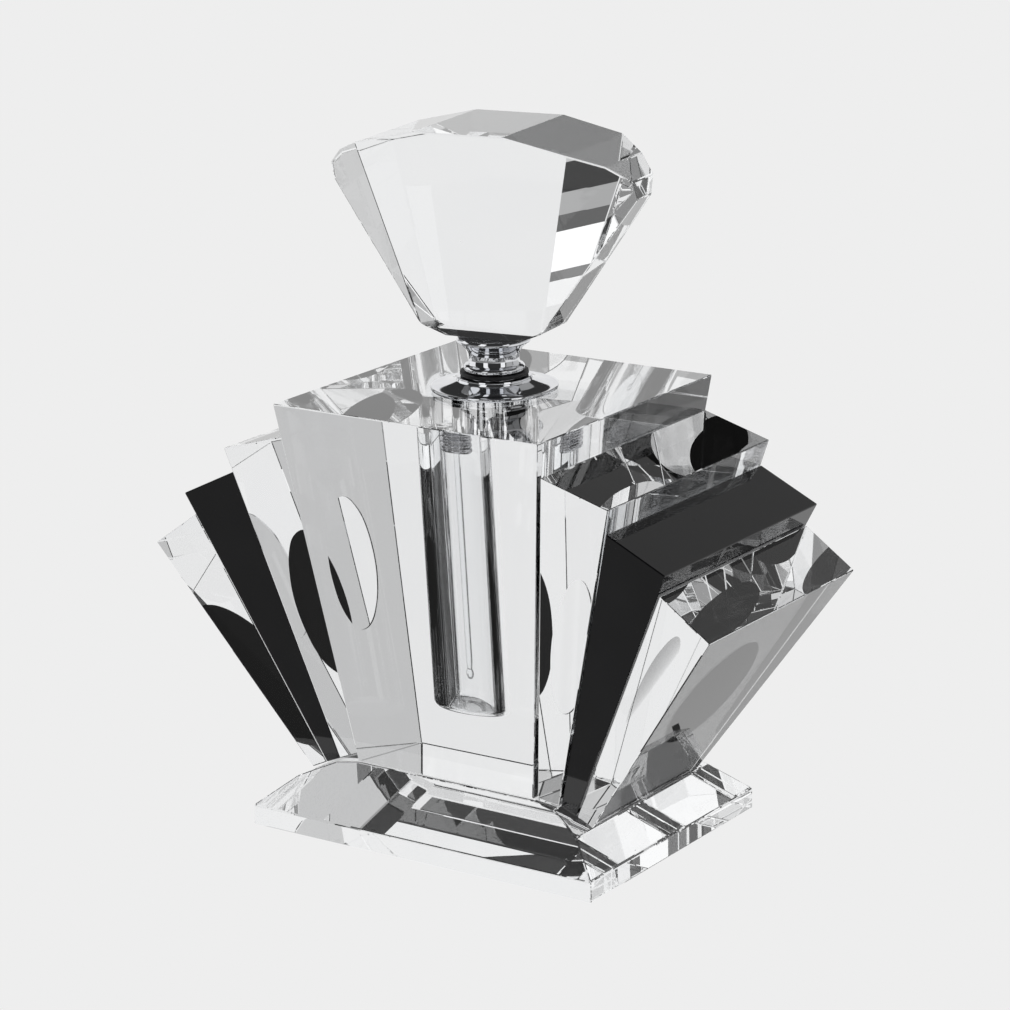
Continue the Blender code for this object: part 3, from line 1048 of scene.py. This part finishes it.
@dataclass
class Dabber:
    """Ferrule, screw plug, sleeve and glass rod that lift out with the stopper."""

    foot_diameter: float = 13.4 * MM
    waist_diameter: float = 11.0 * MM
    head_diameter: float = 16.2 * MM
    plug_radius: float = 4.55 * MM
    plug_bore: float = 2.821 * MM
    seat: float = 0.3 * MM
    rod_diameter: float = 2.4 * MM
    tip_swell: float = 1.18
    ease: float = 0.09 * MM

    def build(self, chrome: Plating, nickel: Plating, poly: Moulding, glass: CutCrystal) -> None:
        """Turns the four pieces.

        Args:
            chrome: Plate of the ferrule.
            nickel: Plate of the plug.
            poly: Material of the sleeve.
            glass: Glass of the rod.
        """
        self.ferrule(chrome.paint())
        self.plug(nickel.paint())
        self.sleeve(poly.paint())
        self.rod(glass.paint())

    def ferrule(self, finish: bpy.types.Material) -> None:
        """Foot flange, waist with a raised bead, hollow flare up to the crystal.

        Args:
            finish: Its material.
        """
        low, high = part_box("stopper_ferrule")
        z, h = low.z, high.z - low.z
        foot, waist, head = self.foot_diameter / 2, self.waist_diameter / 2, self.head_diameter / 2
        bore = self.plug_radius + self.seat
        neck = sweep((waist + 0.45 * MM, z + 0.17 * h), (waist, z + 0.33 * h), 0.5, 8)
        flare = sweep((waist, z + 0.40 * h), (head, z + 0.86 * h), 2.1, 16)
        outline = [(0, z + 0.46 * h), (bore, z + 0.46 * h), (bore, z), (foot, z), (foot, z + 0.10 * h),
                   (foot - 0.3 * MM, z + 0.15 * h)] + neck + flare + [
            (head, z + 0.93 * h), (head - 0.3 * MM, z + h), (0, z + h)]
        bm = Lathe().turn(eased(outline, self.ease, closed=False), closed=False)
        publish("stopper_spool", bm, finish, Body.STOPPER, "stopper_ferrule")

    def plug(self, finish: bpy.types.Material) -> None:
        """Threaded plug, bored for the sleeve.

        Args:
            finish: Its material.
        """
        low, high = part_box("screw_plug")
        outer = self.plug_radius
        start, end = low.z + 0.35 * MM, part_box("collar_disc")[1].z
        outline = [(0, high.z), (outer, high.z)] + Lathe.wall(outer, end, start) + [
            (outer - 0.3 * MM, low.z), (self.plug_bore, low.z), (self.plug_bore, high.z - 2.0 * MM),
            (0, high.z - 2.0 * MM)]
        lathe = Lathe(Lathe.THREAD_STEPS)
        bm = lathe.turn(outline, closed=False)
        lathe.chase(bm, outer, start, end)
        publish("threaded_plug", bm, finish, Body.STOPPER, "screw_plug")

    def sleeve(self, finish: bpy.types.Material) -> None:
        """Sleeve that grips the rod.

        Args:
            finish: Its material.
        """
        low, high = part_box("dabber_sleeve")
        outer, bore = high.x, self.rod_diameter / 2 + self.seat
        outline = [(0, high.z), (outer, high.z), (outer, low.z), (bore, low.z), (bore, high.z - 1.0 * MM),
                   (0, high.z - 1.0 * MM)]
        bm = Lathe(Lathe.SLIM_STEPS).turn(eased(outline, self.ease, closed=False), closed=False)
        publish("rod_sleeve", bm, finish, Body.STOPPER, "dabber_sleeve")

    def rod(self, finish: bpy.types.Material) -> None:
        """Slim glass rod with a swollen round tip.

        Args:
            finish: Its material.
        """
        low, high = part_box("dabber_rod")
        radius = self.rod_diameter / 2
        tip = radius * self.tip_swell
        ball = arc((0, low.z + tip), tip, -90, 50, 18)[1:]
        neck = [(radius, low.z + 3.0 * tip), (radius, high.z - 0.25 * MM), (radius - 0.25 * MM, high.z)]
        bm = Lathe(Lathe.SLIM_STEPS).turn([(0, low.z)] + ball + neck + [(0, high.z)], closed=False)
        publish("glass_dabber", bm, finish, Body.STOPPER, "dabber_rod")


@dataclass
class FanStopper:
    """Crystal stopper: two broad faces, a faceted crown and long side facets down to the foot."""

    width: float = 72.2 * MM
    foot_width: float = 29.0 * MM
    foot_depth: float = 12.8 * MM
    face_slope: float = 0.20
    knee: float = 0.052
    tip_depth: float = 0.104
    clocking: float = radians(8.0)
    arris: float = 0.30 * MM
    crown: tuple[tuple[float, float], ...] = (
        (0.291, 1.0), (0.686, 0.932), (0.873, 0.870), (0.992, 0.793), (1.0, 0.704))

    def __post_init__(self) -> None:
        """Takes its heights from the frame."""
        low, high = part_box("crystal_stopper")
        self.foot, self.height = low.z, high.z - low.z

    def cuts(self) -> list[Cut]:
        """All the facets of the stopper.

        Returns:
            The cuts, mirrored to both sides and both faces.
        """
        half, foot, deep = self.width / 2, self.foot_width / 2, self.foot_depth / 2
        knee = self.foot + self.knee * self.height
        crown = [Vector((x * half, 0, self.foot + z * self.height)) for x, z in self.crown]
        tip_low, foot_side = crown[-1], Vector((foot, 0, knee))
        outline = crown + [foot_side]
        cuts = [(a, Vector((a.z - b.z, 0, b.x - a.x))) for a, b in zip(outline, outline[1:])]
        cuts.append((foot_side, Vector((knee - self.foot, 0, -foot * 0.38))))
        cuts.append((Vector((0, -deep, knee)), Vector((0, -1, -self.face_slope))))
        cuts.append((Vector((0, -deep, knee)), Vector((0, self.foot - knee, -deep * 0.19))))
        shoulder = crown[1] - Vector((0, deep + self.face_slope * (crown[1].z - knee), 0))
        tip = tip_low - Vector((0, self.tip_depth * half, 0))
        corner = Vector((foot, -deep, knee))
        side = (tip - corner).cross(shoulder - corner)
        cuts.append((corner, side if side.x > 0 else -side))
        return both_ways(cuts)

    def build(self, finish: CutCrystal) -> None:
        """Grinds the stopper and turns it to where the thread stops.

        Args:
            finish: Its crystal.
        """
        half = self.width / 2
        grinder = Grinder((-half, -half, self.foot), (half, half, self.foot + self.height))
        bm = grinder.grind(self.cuts()).polish(self.arris)
        bmesh.ops.rotate(bm, verts=bm.verts, cent=(0, 0, 0), matrix=Matrix.Rotation(self.clocking, 3, "Z"))
        publish("crystal_fan_stopper", bm, finish.paint(), Body.STOPPER, "crystal_stopper")


# ---- studio ----
@dataclass(frozen=True)
class Card:
    """A flat softbox, white card or black flag that stands around the bottle and faces it."""

    name: str
    azimuth: float
    elevation: float
    wide: float
    high: float
    level: float
    distance: float = 1.5
    in_plating: bool = True
    tilt: float = 0.0

    def place(self, stand: Vector) -> None:
        """Puts it up, out of the camera's sight.

        Args:
            stand: The point that it faces.
        """
        a, e = radians(self.azimuth), radians(self.elevation)
        away = Vector((sin(a) * cos(e), -cos(a) * cos(e), sin(e)))
        right = Vector((cos(a), sin(a), 0))
        turn = Matrix((right, away.cross(right), away)).transposed().to_4x4()
        span = [2 * self.distance * tan(radians(angle) / 2) for angle in (self.wide, self.high)]
        turn = turn @ Matrix.Rotation(radians(self.tilt), 4, "Z")
        matrix = Matrix.Translation(stand + away * self.distance) @ turn
        matrix = matrix @ Matrix.Diagonal((*span, 1.0, 1.0))
        bm = bmesh.new()
        bmesh.ops.create_grid(bm, x_segments=1, y_segments=1, size=0.5, matrix=matrix)
        glowing(self.name, bm, self.level, seen=False).visible_glossy = self.in_plating


def glowing(name: str, bm: bmesh.types.BMesh, level: float, seen: bool) -> bpy.types.Object:
    """Makes an evenly bright part of the studio.

    Args:
        name: Its name.
        bm: Its shape; it is freed.
        level: Its brightness.
        seen: Whether the camera sees it.

    Returns:
        The staged object.
    """
    mesh = bpy.data.meshes.new(name)
    bm.to_mesh(mesh)
    bm.free()
    made = bpy.data.objects.new(name, mesh)
    bpy.context.scene.collection.objects.link(made)
    made.visible_camera = seen
    bench = Bench(name)
    shader = bench.node("Emission", Color=(level,) * 3 + (1.0,), Strength=1.0)
    mesh.materials.append(bench.finish(shader.outputs[0]))
    return made


@dataclass
class Studio:
    """Pale floor, the cards, flags and slatted screen around it, and the camera."""

    pale: float = 0.855
    room: float = 0.035
    room_radius: float = 3.0
    azimuth: float = radians(34.73)
    elevation: float = radians(16.18)
    roll: float = radians(-1.242)
    distance: float = 0.790976
    aim_height: float = 0.0675
    lens: float = 128.35
    shift: tuple[float, float] = (0.00714, 0.02215)
    reach: float = 4.0
    floor_drop: float = 0.5 * MM
    apron_drop: float = 0.4 * MM
    apron_gap: float = 48.0 * MM
    apron_side: float = -0.4
    apron_span: float = 4.0 / 3
    apron_level: float = 0.27
    # shade_*: a dim strip on the floor close behind the foot, a painted shadow of the plinth
    shade_drop: float = 0.3 * MM
    shade_width: float = 3.0 * MM
    shade_run: tuple[float, float] = (-32.0 * MM, 46.0 * MM)
    shade_level: float = 0.07
    cards: tuple[Card, ...] = (
        Card("sweep", -140, 3, 64, 32, 0.88),
        Card("key_softbox", -80, 13, 46, 36, 1.0),
        Card("front_strip", -4, 8, 20, 84, 1.10),
        Card("side_strip", 74, 2, 20, 70, 1.10),
        Card("grey_wall", 150, 10, 46, 56, 0.57),
        Card("side_wall", 107, 8, 34, 50, 0.45),
        Card("back_top_card", -172, 40, 24, 18, 0.33),
        Card("front_fill", 45, -3, 70, 44, 0.72, in_plating=False),
    )
    louvre: tuple[tuple[float, float], ...] = (
        (0.60, 1.8), (0.04, 1.5), (0.42, 1.1), (0.12, 0.8), (1.15, 2.0), (0.25, 0.5), (1.0, 1.2))
    louvre_azimuth: float = -127.0
    louvre_top: float = 11.0
    louvre_width: float = 7.0
    louvre_tilt: float = -14.0
    louvre_distance: float = 0.35
    louvre_stand: tuple[float, float, float] = (15.0 * MM, 12.0 * MM, -22.0 * MM)

    def build(self) -> None:
        """Sets the world, the floor, the cards and the camera."""
        self.world()
        self.floor()
        self.shell()
        for card in self.cards:
            card.place(Vector((0, 0, self.aim_height)))
        self.slats()
        self.camera()

    def world(self) -> None:
        """A plain pale surround, which only the camera sees."""
        world = bpy.data.worlds.new("studio")
        world.use_nodes = True
        world.node_tree.nodes["Background"].inputs["Color"].default_value = (self.pale,) * 3 + (1.0,)
        scene = bpy.context.scene
        scene.world = world
        scene.view_settings.view_transform = "Standard"
        scene.cycles.max_bounces = scene.cycles.transmission_bounces = 32
        scene.cycles.transparent_max_bounces = 32
        scene.cycles.glossy_bounces = 24

    def floor(self) -> None:
        """Lays a large pale floor, and two dim sheets on it that the camera doesn't see.

        The glass and the plating see those: a narrow painted shadow of the plinth close behind the foot,
        and an apron in front.
        """
        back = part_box("base_plinth")[1].y
        self.sheet("floor", Vector((0, 0, -self.floor_drop)), (self.reach, self.reach), self.pale,
                   seen=True)
        # painted shadow: a dim strip close behind the foot stands in for the plinth's contact shadow on the
        # floor
        start, end = self.shade_run
        half = self.shade_width / 2
        self.sheet("painted_foot_shadow", Vector(((start + end) / 2, back + half, -self.shade_drop)),
                   ((end - start) / 2, half), self.shade_level, seen=False)
        self.sheet("apron", Vector((self.apron_side, -self.apron_gap - self.apron_span, -self.apron_drop)),
                   (self.apron_span, self.apron_span), self.apron_level, seen=False)

    @staticmethod
    def sheet(name: str, middle: Vector, spans: tuple[float, float], level: float, seen: bool) -> None:
        """Lays an even flat sheet.

        Args:
            name: Its name.
            middle: Its middle.
            spans: Half its size along X and Y.
            level: Its brightness.
            seen: Whether the camera sees it.
        """
        bm = bmesh.new()
        matrix = Matrix.Translation(middle) @ Matrix.Diagonal((*spans, 1.0, 1.0))
        bmesh.ops.create_grid(bm, x_segments=1, y_segments=1, size=1.0, matrix=matrix)
        glowing(name, bm, level, seen)

    def slats(self) -> None:
        """A small slatted screen beside the stopper, which puts straight bars in its side facet."""
        stand = Vector((0, 0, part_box("crystal_stopper")[1].z)) + Vector(self.louvre_stand)
        top = self.louvre_top
        for i, (level, high) in enumerate(self.louvre):
            Card(f"slat_{i}", self.louvre_azimuth, top - high / 2, self.louvre_width, high, level,
                 self.louvre_distance, in_plating=False, tilt=self.louvre_tilt).place(stand)
            top -= high

    def shell(self) -> None:
        """The dim room beyond the cards."""
        bm = bmesh.new()
        bmesh.ops.create_icosphere(bm, subdivisions=3, radius=self.room_radius)
        glowing("room", bm, self.room, seen=False)

    def camera(self) -> None:
        """A long lens, a little above the shoulder of the bottle."""
        a, e, roll = self.azimuth, self.elevation, self.roll
        back = Vector((sin(a) * cos(e), -cos(a) * cos(e), sin(e)))
        right = Vector((cos(a), sin(a), 0))
        up = back.cross(right)
        level, upright = cos(roll) * right + sin(roll) * up, cos(roll) * up - sin(roll) * right
        turn = Matrix((level, upright, back)).transposed()
        data = bpy.data.cameras.new("camera")
        data.lens, data.sensor_width = self.lens, 36.0
        data.shift_x, data.shift_y = self.shift
        data.clip_start, data.clip_end = 0.01, 50.0
        camera = bpy.data.objects.new("camera", data)
        stand = Vector((0, 0, self.aim_height)) + back * self.distance
        camera.matrix_world = Matrix.Translation(stand) @ turn.to_4x4()
        bpy.context.scene.collection.objects.link(camera)
        bpy.context.scene.camera = camera


def main() -> None:
    """Builds the sub-assemblies in order, then the studio."""
    logging.basicConfig(level=logging.INFO, format="%(name)s: %(message)s")
    chrome = Plating("bright_chrome", (0.80, 0.81, 0.83), (0.74, 0.75, 0.78), 0.05)
    nickel = Plating("nickel_plate", (0.66, 0.66, 0.67), (0.55, 0.55, 0.57), 0.16)
    rubber = Moulding("black_rubber", (0.012, 0.012, 0.013), (0.022, 0.022, 0.024), 0.45, 0.0006)
    poly = Moulding("white_poly", (0.80, 0.80, 0.78), (0.72, 0.72, 0.70), 0.34, 0.0009)
    plinth, block = Plinth(), Block()
    fan = Fan(plinth, block)
    plinth.build(CutCrystal("plinth_crystal"))
    block.build(CutCrystal("block_crystal"), [fan.joint(0, side) for side in Side])
    fan.build(CutCrystal("fin_crystal"), BlackCrystal("jet_crystal"))
    NeckFitting().build(chrome, nickel, rubber)
    Dabber().build(chrome, nickel, poly, CutCrystal("dabber_glass", ior=1.48))
    FanStopper().build(CutCrystal("stopper_crystal"))
    Studio().build()


if __name__ == "__main__":
    main()
